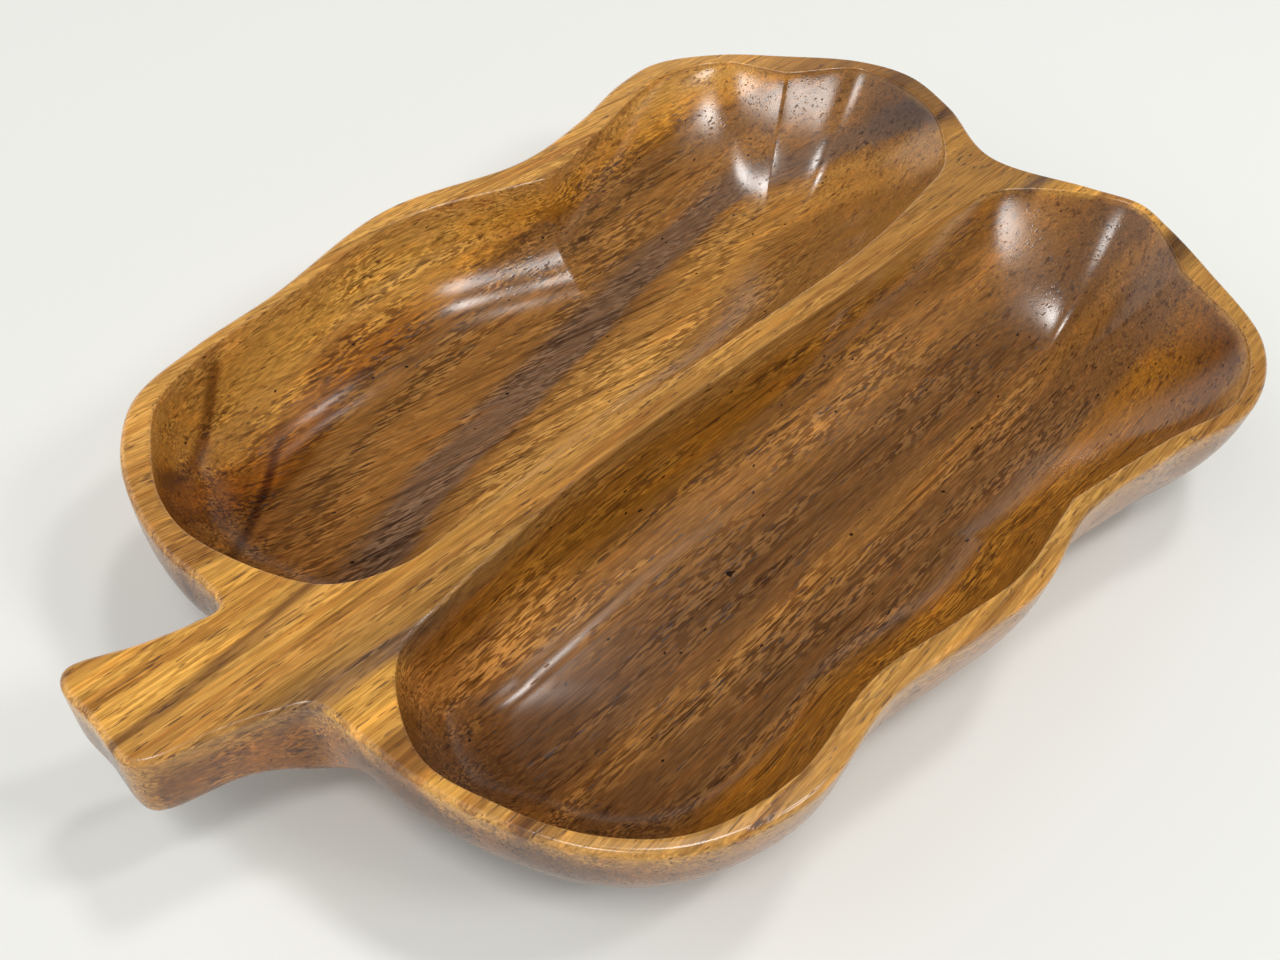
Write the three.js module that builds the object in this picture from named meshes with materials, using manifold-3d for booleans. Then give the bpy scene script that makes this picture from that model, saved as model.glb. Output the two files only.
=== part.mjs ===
import * as THREE from 'three';
import { mergeVertices } from 'three/addons/utils/BufferGeometryUtils.js';
import Module from 'manifold-3d';

// Leaf-shaped divided wooden tray, carved from a blank of edge-glued staves.
// Millimetres, +X from the stem to the leaf's tip, +Y to the left of the rib, +Z up.

// Carving, and the most of the narrowest rim that its two rounded edges may take
const BASIN_DEPTH = 31;
const FLOOR_THICKNESS = 13;
const OUTER_EDGE = 1.5;
const INNER_EDGE = 0.8;
const OUTER_EDGE_MOST = 0.5;
const INNER_EDGE_MOST = 0.3;

// Stem, and the two points on each side where it grows out of the leaf
const STEM_LENGTH = 29.6;
const STEM_WIDTH = 27;
const STEM_THICKNESS = 20.5;
const STEM_FLAT = 8;
const STEM_LEAN = 5;
const STEM_CORNER = 2.6;
const STEM_HOLLOW = 1.1;
const STEM_HOLLOW_SPAN = [0.45, 0.8];
const RIGHT_ROOT = [-137.5, -18.5];
const RIGHT_SHOULDER = [-135.7, -28];
const LEFT_ROOT = [-137.5, 12];
const LEFT_SHOULDER = [-136.7, 19];

// Foot, the flat oval that the tray stands on
const FOOT_LENGTH = 190;
const FOOT_WIDTH = 120;
const FOOT_AT = 8;

// Basin walls: how far they run in from the edge, towards a straight spine down each basin
const NEAR_WALL = 24;
const SIDE_WALL = 28;
const FAR_WALL = 80;
const LEFT_SPINE = 42;
const RIGHT_SPINE = -53;
const SPINE_AT = 5;
const SPINE_SHARE = 0.6;
const SPINE_SHYNESS = 4;

// Fullness of a wall's section: 2 is a quarter ellipse, more is squarer, and less is nearer to a slope
const OUTER_FULLNESS = 2.6;
const STEM_FULLNESS = 8;
const BASIN_FULLNESS = 2.1;
const FAR_FULLNESS = 1.5;

// Share of a basin's depth that is dished, from its edge all the way to its spine, and at its far end
const BASIN_DISH = 0.16;
const FAR_DISH = 0.9;

// Staves: a middle board that holds the stem and the rib, and narrower staves on both sides.
// The edge stave is least wide at the leaf's waist, and the one beside it takes what room is left
const MIDDLE_BOARD_SPARE = 1;
const SIDE_STAVES = 4;
const STAVE_WIDTH = 21;
const EDGE_STAVE_LEAST = 9.7;

// Width of the leaf over its widest lobes
const LEAF_WIDTH = 219.1;

// Leaf edge from the stem to the tip, as drawn before it is stretched to the leaf's width:
// along the leaf, out from its axis, width of the rim there
const RIGHT_EDGE = [
  [-134.3, -40, 4.5],
  [-129.4, -57, 3.6],
  [-121, -73.4, 3.6],
  [-107.4, -86.3, 3.8],
  [-84, -94.4, 5.3],
  [-55, -92.4, 5.4],
  [-30, -96.8, 5.4],
  [-8, -100, 5.4],
  [21, -96.6, 5],
  [57, -102.6, 4.2],
  [90, -109.5, 4.5],
  [119.6, -100.5, 5.3],
  [140, -75.5, 9],
  [152, -57, 4],
  [157.2, -45, 3.8],
  [152, -29.5, 5],
];
const LEFT_EDGE = [
  [-137.8, 30, 6.4],
  [-135.9, 44.9, 5.5],
  [-130, 60.5, 6.5],
  [-119, 73.5, 5.5],
  [-100, 80.1, 3.8],
  [-75, 85, 3.6],
  [-30, 97, 7],
  [16.2, 92.2, 12],
  [47.5, 98.3, 8],
  [75, 107.2, 8],
  [96, 109.6, 8],
  [119.6, 100.6, 6.5],
  [137.1, 87.1, 13],
  [158.7, 67, 6.8],
  [165.2, 49.5, 9.6],
  [157.9, 28, 8],
];
const NOTCH = [141, 0.5];

// Places in those lists: the first and last lobe, and the cusps where two scoops meet at the rim
const RIGHT_LOBES = [4, 10];
const LEFT_LOBES = [6, 10];
const RIGHT_CUSPS = [8, 12];
const LEFT_CUSPS = [7, 12];

// Rib from the tip to the stem: along the leaf, place of its centre line, half its width there
const RIB = [
  [125, -0.8, 10.5],
  [103, -1.9, 6.2],
  [60, -5.4, 4.2],
  [0, -5.8, 3.7],
  [-54, -6.2, 3.8],
  [-90, -8.8, 5.6],
  [-106, -10, 6.8],
  [-120, -8.6, 12.1],
];

// Fineness of the facets
const EDGE_STEPS = 3;
const BASIN_STEPS = 3;
const WALL_RINGS = 6;

// Colours of the lacquered wood, from the middle board outwards
const MIDDLE_TONE = 0xb07a3c;
const RIGHT_TONES = [0x8a5a2b, 0x7a4d28, 0x7e5026, 0xa06a33];
const LEFT_TONES = [0x9c7040, 0x6f4a2c, 0x8c6030, 0xa87430];
const LACQUER_ROUGHNESS = 0.3;

const HEIGHT = BASIN_DEPTH + FLOOR_THICKNESS;
const { lerp, smoothstep } = THREE.MathUtils;
const wasm = await Module();
wasm.setup();

function flat(along, across) {
  return new THREE.Vector3(along, across, 0);
}

function atHeight(point, height) {
  return new THREE.Vector3(point.x, point.y, height);
}

// The edge as drawn, stretched across to the leaf's width
function widest(edge) {
  return Math.max(...edge.map(([, out]) => Math.abs(out)));
}

const widening = LEAF_WIDTH / (widest(RIGHT_EDGE) + widest(LEFT_EDGE));
const rightEdge = RIGHT_EDGE.map(([along, out, rim]) => [along, out * widening, rim]);
const leftEdge = LEFT_EDGE.map(([along, out, rim]) => [along, out * widening, rim]);

// Outline of the leaf and its stem
const stemEnd = flat((RIGHT_ROOT[0] + LEFT_ROOT[0]) / 2 - STEM_LENGTH, STEM_LEAN);

// Points from the stem's end along one side to the leaf's shoulder
function stemSide(side, rootPlace, shoulderPlace) {
  const corner = STEM_LEAN + side * STEM_WIDTH / 2;
  const start = flat(stemEnd.x + STEM_CORNER, corner);
  const root = flat(...rootPlace);
  const hollow = flat(0, -side * STEM_HOLLOW);
  return [
    flat(stemEnd.x, corner - side * STEM_CORNER),
    start,
    ...STEM_HOLLOW_SPAN.map((share) => start.clone().lerp(root, share).add(hollow)),
    root,
    flat(...shoulderPlace),
  ];
}

const rightStem = stemSide(-1, RIGHT_ROOT, RIGHT_SHOULDER);
const leftStem = stemSide(1, LEFT_ROOT, LEFT_SHOULDER);
const stemStations = rightStem.length;
const stations = [
  stemEnd,
  ...rightStem,
  ...rightEdge.map(([along, out]) => flat(along, out)),
  flat(...NOTCH),
  ...leftEdge.map(([along, out]) => flat(along, out)).reverse(),
  ...leftStem.reverse(),
];
const leafCurve = new THREE.CatmullRomCurve3(stations, true, 'centripetal');

function inward(place) {
  const tangent = leafCurve.getTangent(place);
  return flat(-tangent.y, tangent.x);
}

// Outlines of the basins
// Points of a basin's edge beside the leaf's edge, a rim's width in from it
function rimPoints(edge, stationOf) {
  return edge.map(([along, out, rim], index) => {
    const normal = inward(stationOf(index) / stations.length);
    return flat(along, out).addScaledVector(normal, rim);
  });
}

// Two smooth stretches that meet at the cusps, counter-clockwise from above
function basinOutline(edgePoints, ribSide, [waist, scallop]) {
  const ribPoints = RIB.map(([along, centre, half]) => flat(along, centre + ribSide * half));
  const lobe = edgePoints.slice(waist, scallop + 1);
  const rest = [...edgePoints.slice(scallop), ...ribPoints, ...edgePoints.slice(0, waist + 1)];
  const points = [lobe, rest].flatMap((stretch) => {
    const curve = new THREE.CatmullRomCurve3(stretch, false, 'centripetal');
    return curve.getPoints((stretch.length - 1) * BASIN_STEPS).slice(0, -1);
  });
  return ribSide > 0 ? points.reverse() : points;
}

const firstRight = 1 + stemStations;
const firstLeft = stations.length - 1 - stemStations;
const rightRim = rimPoints(rightEdge, (index) => firstRight + index);
const leftRim = rimPoints(leftEdge, (index) => firstLeft - index);

// A rounded edge takes no more than its share of the narrowest rim
const narrowestRim = Math.min(...[...rightEdge, ...leftEdge].map(([, , rim]) => rim));
const outerEdge = Math.min(OUTER_EDGE, narrowestRim * OUTER_EDGE_MOST);
const innerEdge = Math.min(INNER_EDGE, narrowestRim * INNER_EDGE_MOST);

// Vertices and triangles of the whole carved body, before it is divided into staves
const vertices = [];
const triangles = [];

function addRing(points) {
  return points.map((point) => vertices.push(point.x, point.y, point.z) / 3 - 1);
}

function joinRings(upper, lower) {
  upper.forEach((corner, index) => {
    const next = (index + 1) % upper.length;
    triangles.push(corner, lower[index], lower[next]);
    triangles.push(corner, lower[next], upper[next]);
  });
}

// Run in and drop of a wall's section at one of its rings, as shares of the whole
function wallSection(ring, fullness) {
  const angle = ring / WALL_RINGS * Math.PI / 2;
  const run = ring < WALL_RINGS ? 1 - Math.cos(angle) ** (2 / fullness) : 1;
  return { run, drop: Math.sin(angle) ** (2 / fullness) };
}

// Point of the foot's oval in the direction of an edge point
function footPoint(edge) {
  const halfLength = FOOT_LENGTH / 2;
  const halfWidth = FOOT_WIDTH / 2;
  const turn = Math.atan2(edge.y / halfWidth, (edge.x - FOOT_AT) / halfLength);
  return flat(FOOT_AT + halfLength * Math.cos(turn), halfWidth * Math.sin(turn));
}

// Outer wall: from the rim down to the foot, or on the stem down to its flat underside
function outerWall() {
  const count = stations.length * EDGE_STEPS;
  const wallTop = HEIGHT - outerEdge;
  const sides = Array.from({ length: count }, (_, index) => {
    const edge = leafCurve.getPoint(index / count);
    const normal = inward(index / count);
    const fromStemEnd = Math.min(index, count - index) / EDGE_STEPS;
    const stem = 1 - smoothstep(fromStemEnd, stemStations / 2, stemStations);
    const under = edge.clone().addScaledVector(normal, (STEM_WIDTH - STEM_FLAT) / 2);
    const foot = footPoint(edge).lerp(under, stem);
    const drop = lerp(wallTop, STEM_THICKNESS - outerEdge, stem);
    const fullness = lerp(OUTER_FULLNESS, STEM_FULLNESS, stem);
    return { edge, normal, foot, drop, fullness };
  });
  const top = addRing(sides.map(({ edge, normal }) =>
    atHeight(edge.clone().addScaledVector(normal, outerEdge), HEIGHT)));
  let upper = top;
  for (let ring = 0; ring <= WALL_RINGS; ring++) {
    const lower = addRing(sides.map(({ edge, foot, drop, fullness }) => {
      const section = wallSection(ring, fullness);
      return atHeight(edge.clone().lerp(foot, section.run), wallTop - drop * section.drop);
    }));
    joinRings(upper, lower);
    upper = lower;
  }
  return { top, bottom: upper };
}

// Underside: rungs across from the right of the last ring to its left, from the stem to the notch
function closeUnderside(ring) {
  const half = ring.length / 2;
  for (let rung = 0; rung < half; rung++) {
    const right = ring[rung];
    const rightNext = ring[rung + 1];
    const left = ring[(ring.length - rung) % ring.length];
    const leftNext = ring[ring.length - rung - 1];
    if (rung > 0) triangles.push(right, left, leftNext);
    if (rung < half - 1) triangles.push(right, leftNext, rightNext);
  }
}

// Share of the way to the spine that a basin's wall runs, always short of the spine itself
function wallShare(run, distance) {
  return run / (run ** SPINE_SHYNESS + distance ** SPINE_SHYNESS) ** (1 / SPINE_SHYNESS);
}

// Basin: concave walls from its edge to a level floor, returning the ring of its edge
function basin(outline, spineAcross) {
  const length = Math.max(...outline.map((point) => Math.abs(point.x - SPINE_AT)));
  const wallTop = HEIGHT - innerEdge;
  const sides = outline.map((edge, index) => {
    const before = outline.at(index - 1);
    const after = outline[(index + 1) % outline.length];
    const tangent = after.clone().sub(before).normalize();
    const along = edge.x - SPINE_AT;
    const [endWall, endFullness, endDish] =
      along > 0 ? [FAR_WALL, FAR_FULLNESS, FAR_DISH] : [NEAR_WALL, BASIN_FULLNESS, BASIN_DISH];
    const towardsEnd = smoothstep(Math.abs(along) / length, 0, 1);
    const fullness = lerp(BASIN_FULLNESS, endFullness, towardsEnd);
    const dish = lerp(BASIN_DISH, endDish, towardsEnd);
    const spine = flat(SPINE_AT + along * SPINE_SHARE, spineAcross);
    const share = wallShare(lerp(SIDE_WALL, endWall, towardsEnd), edge.distanceTo(spine));
    return { edge, spine, share, fullness, dish, outside: flat(tangent.y, -tangent.x) };
  });
  const top = addRing(sides.map(({ edge, outside }) =>
    atHeight(edge.clone().addScaledVector(outside, innerEdge), HEIGHT)));
  let upper = top;
  for (let ring = 0; ring <= WALL_RINGS; ring++) {
    const lower = addRing(sides.map(({ edge, spine, share, fullness, dish }) => {
      const section = wallSection(ring, fullness);
      const run = section.run * share;
      const drop = lerp(section.drop, 1 - (1 - run) ** 2, dish);
      return atHeight(edge.clone().lerp(spine, run), lerp(wallTop, FLOOR_THICKNESS, drop));
    }));
    joinRings(lower, upper);
    upper = lower;
  }
  for (const corners of THREE.ShapeUtils.triangulateShape(planOf(upper), [])) {
    triangles.push(...corners.map((corner) => upper[corner]));
  }
  return top;
}

function planOf(ring) {
  return ring.map((vertex) => new THREE.Vector2(vertices[vertex * 3], vertices[vertex * 3 + 1]));
}

// Flat rim, rib and stem top, between the leaf's edge and the two basins
function closeTop(outside, basinTops) {
  const holes = basinTops.map((ring) => ring.toReversed());
  const corners = [...outside, ...holes.flat()];
  for (const face of THREE.ShapeUtils.triangulateShape(planOf(outside), holes.map(planOf))) {
    triangles.push(...face.map((corner) => corners[corner]));
  }
}

const wall = outerWall();
closeUnderside(wall.bottom);
closeTop(wall.top, [
  basin(basinOutline(rightRim, -1, RIGHT_CUSPS), RIGHT_SPINE),
  basin(basinOutline(leftRim, 1, LEFT_CUSPS), LEFT_SPINE),
]);

function solid(vertProperties, triVerts) {
  return new wasm.Manifold(new wasm.Mesh({ numProp: 3, vertProperties, triVerts }));
}

const carvedBody = solid(new Float32Array(vertices), new Uint32Array(triangles));
const bounds = new THREE.Box3().setFromArray(vertices);
const middle = bounds.getCenter(new THREE.Vector3());
const blank = bounds.getSize(new THREE.Vector3()).multiplyScalar(2);

// Slab of the blank between two glue joints, longer and thicker than the tray
function slab(right, left) {
  const box = new THREE.BoxGeometry(blank.x, left - right, blank.z);
  box.translate(middle.x, (right + left) / 2, middle.z);
  box.deleteAttribute('normal');
  box.deleteAttribute('uv');
  const merged = mergeVertices(box);
  return solid(new Float32Array(merged.attributes.position.array), new Uint32Array(merged.index.array));
}

// One stave: the part of the carved body between two glue joints
function stave(name, right, left, color) {
  const cut = carvedBody.intersect(slab(right, left)).getMesh();
  const geometry = new THREE.BufferGeometry();
  geometry.setAttribute('position', new THREE.BufferAttribute(cut.vertProperties, 3));
  geometry.setIndex(new THREE.BufferAttribute(cut.triVerts, 1));
  geometry.computeVertexNormals();
  const material = new THREE.MeshStandardMaterial({ color, roughness: LACQUER_ROUGHNESS, metalness: 0 });
  const mesh = new THREE.Mesh(geometry, material);
  mesh.name = name;
  return mesh;
}

// How far out the leaf's narrowest waist lies on one side
function waist(edge, [firstLobe, lastLobe]) {
  return Math.min(...edge.slice(firstLobe, lastLobe + 1).map(([, out]) => Math.abs(out)));
}

// Glue joints on one side: a stave apart, and the last one an edge stave's least width inside the waist
const narrowestWaist = Math.min(waist(rightEdge, RIGHT_LOBES), waist(leftEdge, LEFT_LOBES));

function glueJoints(firstJoint) {
  const side = Math.sign(firstJoint);
  const inner = Array.from({ length: SIDE_STAVES - 1 }, (_, index) => firstJoint + side * STAVE_WIDTH * index);
  return [...inner, side * (narrowestWaist - EDGE_STAVE_LEAST)];
}

const tray = new THREE.Group();
const middleRight = RIGHT_ROOT[1] - MIDDLE_BOARD_SPARE;
const middleLeft = STEM_LEAN + STEM_WIDTH / 2 + MIDDLE_BOARD_SPARE;
tray.add(stave('middle_board', middleRight, middleLeft, MIDDLE_TONE));

glueJoints(middleRight).forEach((joint, index, joints) => {
  const next = joints[index + 1] ?? middle.y - blank.y;
  tray.add(stave(`right_stave_${index + 1}`, next, joint, RIGHT_TONES[index % RIGHT_TONES.length]));
});
glueJoints(middleLeft).forEach((joint, index, joints) => {
  const next = joints[index + 1] ?? middle.y + blank.y;
  tray.add(stave(`left_stave_${index + 1}`, joint, next, LEFT_TONES[index % LEFT_TONES.length]));
});
tray.position.set(-middle.x, -middle.y, -bounds.min.z);

export default tray;
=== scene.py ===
import bmesh
import bpy
import numpy as np
from mathutils import Matrix, Vector
from mathutils.geometry import delaunay_2d_cdt


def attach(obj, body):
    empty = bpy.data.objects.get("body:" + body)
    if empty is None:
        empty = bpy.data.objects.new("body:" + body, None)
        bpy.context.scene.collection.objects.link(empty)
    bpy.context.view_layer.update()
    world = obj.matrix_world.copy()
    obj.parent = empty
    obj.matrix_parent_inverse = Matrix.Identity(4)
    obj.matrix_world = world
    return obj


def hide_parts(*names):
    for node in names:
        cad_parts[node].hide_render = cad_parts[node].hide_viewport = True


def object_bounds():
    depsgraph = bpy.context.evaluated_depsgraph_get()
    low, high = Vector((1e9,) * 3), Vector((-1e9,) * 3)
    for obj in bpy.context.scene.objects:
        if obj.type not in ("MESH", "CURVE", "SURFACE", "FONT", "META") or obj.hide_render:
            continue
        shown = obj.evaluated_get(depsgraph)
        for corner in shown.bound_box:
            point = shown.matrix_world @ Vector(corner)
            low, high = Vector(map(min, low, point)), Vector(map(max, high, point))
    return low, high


# Leaf-shaped divided bowl, carved from a blank of edge-glued staves and lacquered.
# Sizes are in millimetres from the leaf's drawing, and go into the meshes in metres.

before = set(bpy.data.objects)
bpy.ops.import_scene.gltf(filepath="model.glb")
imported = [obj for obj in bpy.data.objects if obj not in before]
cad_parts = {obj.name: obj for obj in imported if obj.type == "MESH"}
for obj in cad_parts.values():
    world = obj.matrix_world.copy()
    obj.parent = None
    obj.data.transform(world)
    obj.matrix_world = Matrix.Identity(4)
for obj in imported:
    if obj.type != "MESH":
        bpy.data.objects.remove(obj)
cad_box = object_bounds()

MM = 0.001

# Carving
BASIN_DEPTH = 31.0
FLOOR_THICKNESS = 13.0
HEIGHT = BASIN_DEPTH + FLOOR_THICKNESS
OUTER_EDGE = 1.5
INNER_EDGE = 0.8
FLAT_LEDGE = 0.3

# Stem
STEM_LENGTH = 29.6
STEM_WIDTH = 27.0
STEM_THICKNESS = 20.5
STEM_FLAT = 8.0
STEM_LEAN = 5.0
STEM_CORNER = 2.6
STEM_HOLLOW = 1.1
STEM_HOLLOW_SPAN = (0.45, 0.8)
RIGHT_ROOT = (-137.5, -18.5)
RIGHT_SHOULDER = (-135.7, -28.0)
LEFT_ROOT = (-137.5, 12.0)
LEFT_SHOULDER = (-136.7, 19.0)
STEM_STATIONS = 6

# Foot, the flat oval that the bowl stands on
FOOT_LENGTH = 190.0
FOOT_WIDTH = 120.0
FOOT_AT = 8.0

# Basin walls, and the straight spine down each basin that they run towards
NEAR_WALL = 24.0
SIDE_WALL = 28.0
FAR_WALL = 80.0
LEFT_SPINE = 42.0
RIGHT_SPINE = -53.0
SPINE_AT = 5.0
SPINE_SHARE = 0.6
SPINE_SHYNESS = 4.0

# Fullness of a wall's section: 2 is a quarter ellipse, more is squarer, and less is nearer to a slope
OUTER_FULLNESS = 2.6
STEM_FULLNESS = 8.0
BASIN_FULLNESS = 2.1
FAR_FULLNESS = 1.5

# Dish of the basins: its share of their depth, and how far towards the spine it is drawn
BASIN_DISH = 0.16
FAR_DISH = 0.9
FLOOR_REACH = 0.85

# Glue joints between the staves, from the right edge to the left
JOINTS = (-82.5, -61.5, -40.5, -19.5, 19.5, 40.5, 61.5, 82.5)
STAVES = (
    "right_stave_4", "right_stave_3", "right_stave_2", "right_stave_1", "middle_board",
    "left_stave_1", "left_stave_2", "left_stave_3", "left_stave_4",
)

# Leaf edge from the stem to the tip: along the leaf, out from its axis, width of the rim there
RIGHT_EDGE = np.array([
    (-134.3, -40, 4.5), (-129.4, -57, 3.6), (-121, -73.4, 3.6), (-107.4, -86.3, 3.8),
    (-84, -94.4, 5.3), (-55, -92.4, 5.4), (-30, -96.8, 5.4), (-8, -100, 5.4),
    (21, -96.6, 5), (57, -102.6, 4.2), (90, -109.5, 4.5), (119.6, -100.5, 5.3),
    (140, -75.5, 9), (152, -57, 4), (157.2, -45, 3.8), (152, -29.5, 5),
])
LEFT_EDGE = np.array([
    (-137.8, 30, 6.4), (-135.9, 44.9, 5.5), (-130, 60.5, 6.5), (-119, 73.5, 5.5),
    (-100, 80.1, 3.8), (-75, 85, 3.6), (-30, 97, 7), (16.2, 92.2, 12),
    (47.5, 98.3, 8), (75, 107.2, 8), (96, 109.6, 8), (119.6, 100.6, 6.5),
    (137.1, 87.1, 13), (158.7, 67, 6.8), (165.2, 49.5, 9.6), (157.9, 28, 8),
])
NOTCH = (141.0, 0.5)
RIGHT_CUSPS = (8, 12)
LEFT_CUSPS = (7, 12)

# Rib from the tip to the stem: along the leaf, place of its centre line, half its width there
RIB = np.array([
    (125, -0.8, 10.5), (103, -1.9, 6.2), (60, -5.4, 4.2), (0, -5.8, 3.7),
    (-54, -6.2, 3.8), (-90, -8.8, 5.6), (-106, -10, 6.8), (-120, -8.6, 12.1),
])

# Fineness of the surfaces, and how near points count as one where a face is filled or a stave is cut
EDGE_STEPS = 20
BASIN_STEPS = 24
ROUND_STEPS = 6
WALL_STEPS = 40
FLOOR_STEPS = 14
RUNG_STEPS = 24
FILL_WITHIN = 1e-7
CUT_WITHIN = 1e-9

# Kind of triangulation that fills all inside the outer ring with triangles
FILL_KIND = 2

# Shift from the drawing to the shared frame, whose origin is under the middle of the solids' box
DRAWING_SHIFT = (1.1598, -0.1153, 0.0)
CARVED_NORMAL = "carved_normal"

# Colours of the wood
GOLD = (0.62, 0.31, 0.062)
HONEY = (0.50, 0.25, 0.060)
TAN = (0.42, 0.197, 0.047)
AMBER = (0.47, 0.195, 0.024)
RUST = (0.33, 0.126, 0.014)
CHESTNUT = (0.28, 0.120, 0.028)
BROWN = (0.19, 0.081, 0.024)
PLUM = (0.18, 0.095, 0.050)

# Tints that multiply the wood's colour
STREAK = (0.42, 0.36, 0.33)
GLOW = (1.5, 1.35, 1.1)
PORE = (0.22, 0.17, 0.16)
FLECK = (1.55, 1.72, 1.9)
DASH = (0.56, 0.52, 0.48)
KNOT = (0.10, 0.08, 0.08)
RIPPLE = (0.70, 0.62, 0.62)
# Painted shade, with darker wood, below the far rim
FAR_SHADE_AND_DARK_WOOD = (0.55, 0.48, 0.42)
SMOKE = (0.50, 0.47, 0.50)
# Painted shade at the basins' near ends
NEAR_END_SHADE = (0.70, 0.61, 0.52)
GROWTH = (0.60, 0.50, 0.40)
MELLOW = (0.74, 0.68, 0.62)
PALER = (1.10, 1.10, 1.12)
RING = (0.42, 0.34, 0.30)
SUNNY = (1.65, 1.70, 1.75)
# Painted sheen of the stem's end face
STEM_END_SHEEN = (1.60, 1.85, 2.20)


def tone(colour, level):
    """A colour of the wood, lighter or darker."""
    return tuple(channel * level for channel in colour)


# Bands of colour across the grain, from right to left in millimetres, near the top and deeper
RIGHT_SPAN = (-112, 0)
RIGHT_TOP = [
    (-112, TAN), (-96, HONEY), (-68, HONEY), (-63, BROWN), (-58, HONEY), (-46, GOLD), (-42, CHESTNUT),
    (-34, CHESTNUT), (-31, tone(GOLD, 1.1)), (-21, GOLD), (-18, PLUM), (-13, tone(HONEY, 0.8)),
    (-6, tone(TAN, 1.1)),
]
RIGHT_DEEP = [
    (-112, RUST), (-80, RUST), (-74, BROWN), (-61, BROWN), (-55, tone(CHESTNUT, 1.15)), (-50, BROWN),
    (-42, tone(BROWN, 0.85)), (-35, BROWN), (-27, CHESTNUT), (-21, tone(CHESTNUT, 1.3)),
    (-16, tone(RUST, 0.66)), (-11, tone(RUST, 0.85)), (-6, TAN),
]
LEFT_SPAN = (-70, 90)
LEFT_TOP = [
    (-70, TAN), (-24, HONEY), (-12, GOLD), (-4, HONEY), (-1, BROWN), (2, tone(GOLD, 1.1)), (14, GOLD),
    (20, TAN), (48, TAN), (56, tone(HONEY, 1.25)), (90, tone(HONEY, 1.2)),
]
LEFT_DEEP = [
    (-70, RUST), (-38, tone(TAN, 0.9)), (-26, TAN), (-18, tone(HONEY, 1.25)), (-9, TAN), (-3, CHESTNUT),
    (0, PLUM), (8, PLUM), (14, CHESTNUT), (22, tone(CHESTNUT, 1.15)), (28, tone(CHESTNUT, 0.8)),
    (38, CHESTNUT), (41, tone(RUST, 0.7)), (46, tone(AMBER, 1.15)), (58, GOLD), (90, tone(GOLD, 1.1)),
]

# Slant of the left half's bands: where the dark one lies, and its slope, at the rim and a basin deeper
BAND_AT = 27.6
BAND_DEEPER = 16.4
SLANT = 0.125
SLANT_DEEPER = 0.115

# Steps across or along the bowl, each (from, to) or (from, to, value before, value after): where the grain
# turns to the left half's slant, how far its bands shift at the near and the far end, how many times deeper
# the wood counts at the tip, and how the ripples and the flecks thin out towards the far end
GRAIN_TURN = (-30.0, 14.0)
NEAR_BEND = (-102.0, -60.0, 7.0, 0.0)
FAR_BEND = (85.0, 150.0, 0.0, 18.0)
TIP_SINK = (95.0, 135.0, 1.0, 4.0)
RIPPLE_ALONG = (50.0, 110.0, 1.0, 0.45)
FLECK_ALONG = (50.0, 115.0, 1.0, 0.3)

# Slope of the fibres, and how much the staves from the left half's first and third joints on add to it
FIBRE_LEAN = 0.02
LEANING_JOINTS = (4, 6)
INNER_LEAN = -0.12
OUTER_LEAN = 0.14

# Wander of the bands in millimetres, and its share in the depth and in the growth lines
WANDER_REACH = 9.0
FINGER_REACH = 7.0
STRAY_SINK = 0.02
RING_WANDER = 0.35

# Dark growth lines at the left basin's near end: their places across a plane that slopes over the leaf
RINGS = (141.0, 159.5)
RING_SLOPE = 0.85

# Noise drawn out along the grain: length and width of its cells in millimetres, detail, roughness, shift
WANDER_NOISE = (70.0, 12.0, 2.0, 0.5, 0.0)
FINGER_NOISE = (28.0, 2.2, 2.0, 0.5, 7.3)
RIPPLE_NOISE = (90.0, 3.6, 2.0, 0.5, 13.1)
STREAK_NOISE = (55.0, 1.6, 3.0, 0.6, 3.1)
GLOW_NOISE = (40.0, 2.6, 2.0, 0.5, 11.7)
FINE_NOISE = (14.0, 0.45, 2.0, 0.6, 5.9)
CROWD_NOISE = (55.0, 5.0, 2.0, 0.5, 17.2)
FLECK_NOISE = (4.6, 0.65, 1.5, 0.5, 29.8)
PORE_NOISE = (5.0, 0.5, 1.0, 0.5, 23.4)
KNOT_NOISE = (2.6, 1.5, 0.0, 0.5, 41.5)

# Steps of that noise, and of the depth in basin depths
RIPPLE_STEP = (0.50, 0.66)
STREAK_STEP = (0.52, 0.72)
STREAK_SINK = (0.0, 0.25, 0.65, 1.0)
GLOW_STEP = (0.5, 0.75, 0.0, 0.6)
FINE_STEP = (0.25, 0.75, 0.72, 1.22)
CROWD_STEP = (0.42, 0.62, 0.2, 1.0)
FLECK_STEP = (0.44, 0.56)
FLECK_SINK = (0.0, 0.4, 0.4, 0.9)
PORE_STEP = (0.69, 0.75)
PORE_CROWD = 0.08
PORE_SHARE = 0.8
KNOT_STEP = (0.83, 0.87)


def rise(place, low, high, most=1.0):
    """Share that goes from 0 below low to most above high, along a named place of the wood."""
    return place, low, high, 0.0, most


def fall(place, low, high):
    """Share that goes from 1 below low to 0 above high, along a named place of the wood."""
    return place, low, high, 1.0, 0.0


# Dark heart of the blank, its light top, and the half to the left of the rib
HEART = rise("sunk", 0.02, 0.3)
TOP = fall("sunk", 0.0, 0.25)
LEFT_HALF = rise("across", -9.0, -2.0)
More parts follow.
